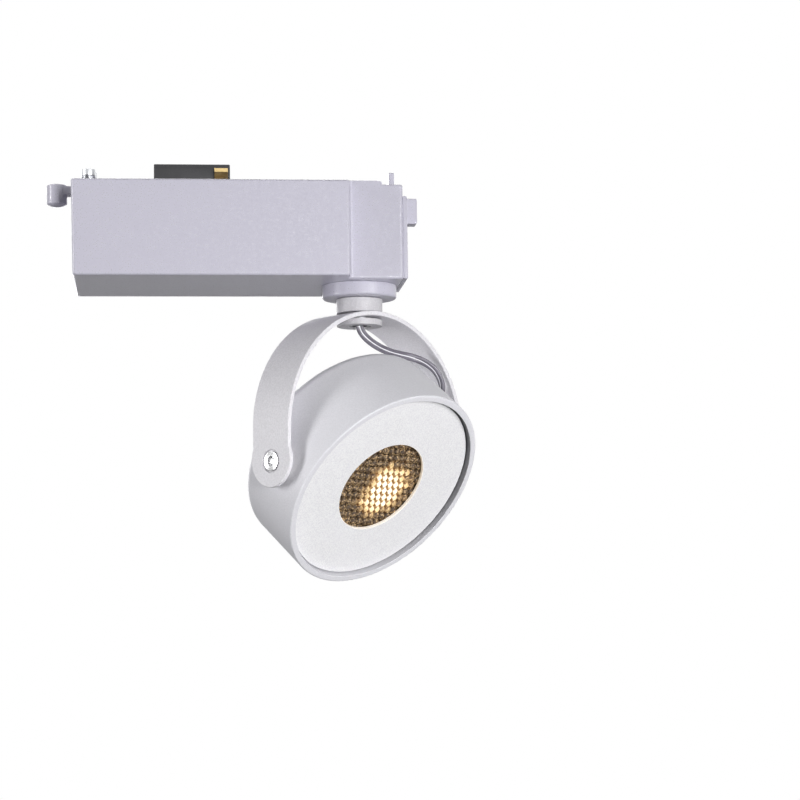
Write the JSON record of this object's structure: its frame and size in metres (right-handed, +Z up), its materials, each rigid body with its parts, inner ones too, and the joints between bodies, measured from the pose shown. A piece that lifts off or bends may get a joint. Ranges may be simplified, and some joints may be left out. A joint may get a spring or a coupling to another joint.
{
  "type": "track spotlight",
  "caption": "Track spotlight: a driver box that locks into a lighting rail, a swivel stem, a strip yoke and a short drum head that tilts, with a recessed disc round a beaded lens.",
  "frame": {"origin": "on the rail seat, the plane where the part bears on the rail's underside, straight above the swivel axis", "axes": "+Z up out of the seat into the rail, +X along the rail towards the latch end, -Y the side that the head faces at pan angle 0"},
  "size_m": [0.192, 0.1003, 0.1869],
  "materials": {
    "housing_plastic": "moulded white plastic with a fine sparkle",
    "head_paint": "white powder coat",
    "disc_paint": "white powder coat with a visible grain",
    "bracket_paint": "light grey powder coat",
    "zinc_steel": "zinc plated",
    "bright_steel": "bare bright steel",
    "contact_brass": "plain brass",
    "black_plastic": "black moulded plastic",
    "nylon": "natural nylon",
    "board_laminate": "glass laminate with green mask",
    "core_tape": "yellow winding tape",
    "copper_winding": "enamelled copper winding",
    "green_plastic": "moulded terminal body",
    "lead_pvc": "insulated hook-up wire",
    "cable_pvc": "smoky clear twin cable",
    "grommet_rubber": "soft black rubber",
    "plate_aluminium": "plain aluminium",
    "led_ceramic": "white ceramic",
    "led_phosphor": "yellow phosphor",
    "amber_lens": "warm moulded beads"
  },
  "bodies": {
    "adapter": {"driver_housing": "housing_plastic", "top_cover": "housing_plastic", "cover_screws": "zinc_steel", "contact_block": "black_plastic", "contact_leaves": "contact_brass", "supply_leads": "lead_pvc", "driver_board": "board_laminate", "board_screws": "zinc_steel", "transformer": "core_tape", "filter_capacitors": "black_plastic", "input_choke": "copper_winding", "terminal_block": "green_plastic", "output_lead": "cable_pvc", "end_cap": "housing_plastic", "end_cap_screws": "zinc_steel", "swivel_collar": "housing_plastic", "thrust_washer": "nylon", "latch_spring": "zinc_steel"},
    "lock": {"lock_lever": "housing_plastic", "lock_bar": "zinc_steel", "lever_screw": "zinc_steel"},
    "latch": {"latch_slider": "housing_plastic"},
    "swivel": {"swivel_nut": "contact_brass", "hollow_nipple": "zinc_steel", "stem": "bracket_paint", "yoke": "bracket_paint", "saddle_washer": "bracket_paint", "cable_bush": "grommet_rubber", "head_cable": "cable_pvc"},
    "head": {"head_housing": "head_paint", "pivot_screws": "bright_steel", "pivot_bushes": "nylon", "heat_spreader": "plate_aluminium", "spreader_screws": "zinc_steel", "led_carrier": "led_ceramic", "led_emitter": "led_phosphor", "led_holder": "nylon", "holder_screws": "zinc_steel", "reflector": "plate_aluminium", "bead_lens": "amber_lens", "front_disc": "disc_paint", "cable_grommet": "grommet_rubber", "led_lead": "lead_pvc"}
  },
  "joints": [
    {"name": "pan", "type": "hinge", "parent": "adapter", "child": "swivel", "pos_m": [0, 0, -0.052], "axis": [0, 0, 1], "range_deg": [-175, 175]},
    {"name": "tilt", "type": "hinge", "parent": "swivel", "child": "head", "pos_m": [0, 0, -0.1278], "axis": [0.766, 0.6428, 0], "range_deg": [-38, 52], "deforming": ["head_cable"]},
    {"name": "lock_turn", "type": "hinge", "parent": "adapter", "child": "lock", "pos_m": [-0.121, 0, -0.01], "axis": [0, 0, 1], "range_deg": [0, 60]},
    {"name": "latch_pull", "type": "slide", "parent": "adapter", "child": "latch", "axis": [0, 0, -1], "range_m": [0, 0.005], "stiffness_N_per_m": 500, "springref_m": -0.003, "deforming": ["latch_spring"]}
  ]
}
